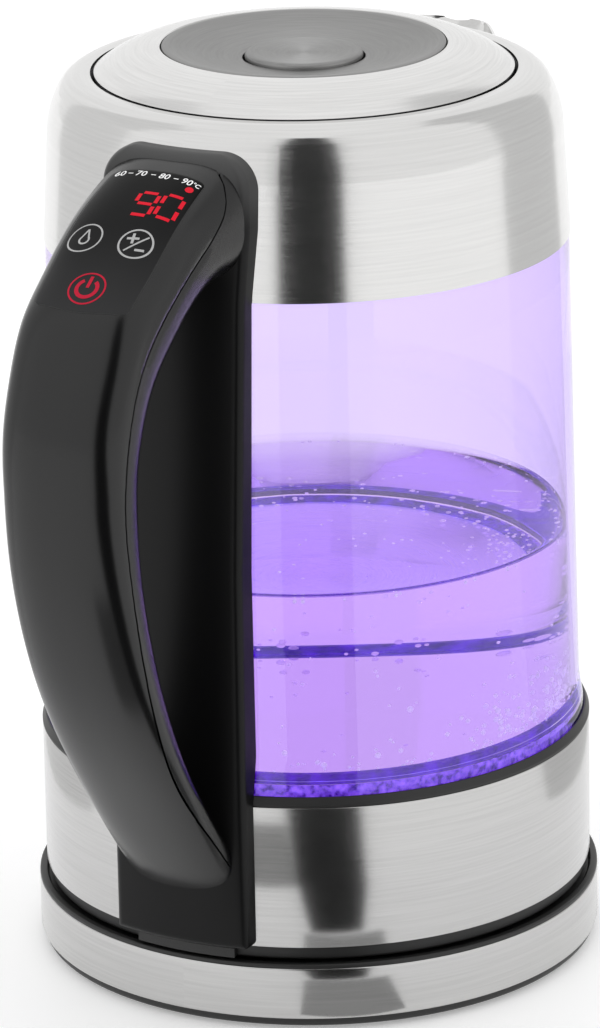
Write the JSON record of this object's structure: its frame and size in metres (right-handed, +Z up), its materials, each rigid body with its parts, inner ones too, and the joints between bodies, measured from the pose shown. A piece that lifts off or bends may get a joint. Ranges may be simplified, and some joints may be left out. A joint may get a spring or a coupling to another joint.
{
  "type": "electric kettle",
  "caption": "Cordless electric kettle: glass jug with steel collar, hinged lid and touch handle, standing on a round power base.",
  "frame": {"origin": "on the standing surface, on the axis of the jug and the power base", "axes": "+Z up along the jug's axis, the spout points to +X and the handle to -X"},
  "size_m": [0.2342, 0.158, 0.257],
  "materials": {
    "base_plastic": "moulded, fine texture",
    "steel": "brushed round the jug",
    "lid_metal": "satin",
    "handle_plastic": "satin moulded",
    "panel_gloss": "polished",
    "inner_plastic": "moulded",
    "glass": "clear",
    "light_guide": "frosted",
    "rubber": "matt",
    "silicone": "matt",
    "heater_steel": "brushed",
    "fastener": "plated",
    "brass": "plain",
    "aluminium": "plain",
    "circuit": "lacquered board",
    "lamp": "clear",
    "wire": "flat wiring"
  },
  "bodies": {
    "base": {"base_pan": "base_plastic", "base_steel_band": "steel", "base_deck": "base_plastic", "base_feet": "rubber", "base_screws": "fastener", "cord_gland": "rubber", "terminal_block": "inner_plastic", "base_socket": "base_plastic", "socket_contacts": "brass"},
    "swivel": {"socket_ring": "inner_plastic"},
    "lid": {"lid_cap": "steel", "lid_disc": "lid_metal", "lid_body": "inner_plastic", "lid_underplate": "heater_steel", "lid_screws": "fastener", "lid_seal": "silicone", "lid_hinge_arm": "inner_plastic", "button_spring": "fastener"},
    "lid_button": {"lid_button": "lid_metal"},
    "latch_left": {"latch_left": "inner_plastic"},
    "latch_right": {"latch_right": "inner_plastic"},
    "jug": {"jug_base_cover": "base_plastic", "jug_connector": "base_plastic", "connector_contacts": "brass", "lower_steel_band": "steel", "chassis_ring": "inner_plastic", "jug_screws": "fastener", "retaining_ring": "base_plastic", "glass_jug": "glass", "lower_seal": "silicone", "upper_seal": "silicone", "heater_plate": "heater_steel", "heat_spreader": "aluminium", "heating_element": "aluminium", "thermostat": "inner_plastic", "temperature_probe": "fastener", "light_ring": "light_guide", "lamp_board": "circuit", "lamps": "lamp", "power_board": "circuit", "power_parts": "inner_plastic", "steel_collar": "steel", "collar_frame": "inner_plastic", "hinge_pin": "fastener", "filter_frame": "inner_plastic", "filter_mesh": "heater_steel", "handle_spine": "handle_plastic", "handle_harness": "wire", "handle_inner_shell": "handle_plastic", "handle_outer_shell": "handle_plastic", "control_panel": "panel_gloss", "display_board": "circuit", "display_module": "lamp", "touch_springs": "fastener", "handle_screws": "fastener"}
  },
  "joints": [
    {"name": "jug_turn", "type": "hinge", "parent": "base", "child": "swivel", "pos_m": [0, 0, 0.01], "axis": [0, 0, 1], "continuous": true},
    {"name": "jug_lift", "type": "slide", "parent": "swivel", "child": "jug", "axis": [0, 0, 1], "range_m": [0, 0.08]},
    {"name": "lid_hinge", "type": "hinge", "parent": "jug", "child": "lid", "pos_m": [-0.0622, 0, 0.2456], "axis": [0, -1, 0], "range_deg": [0, 80]},
    {"name": "button_press", "type": "slide", "parent": "lid", "child": "lid_button", "axis": [0, 0, -1], "range_m": [0, 0.003], "stiffness_N_per_m": 300, "springref_m": -0.003, "deforming": ["button_spring"]},
    {"name": "latch_left_slide", "type": "slide", "parent": "lid", "child": "latch_left", "axis": [0, -1, 0], "range_m": [0, 0.003]},
    {"name": "latch_right_slide", "type": "slide", "parent": "lid", "child": "latch_right", "axis": [0, 1, 0], "range_m": [0, 0.003]}
  ],
  "couplings": [
    {"joint": "latch_left_slide", "follows": "button_press", "ratio": 1},
    {"joint": "latch_right_slide", "follows": "button_press", "ratio": 1}
  ]
}
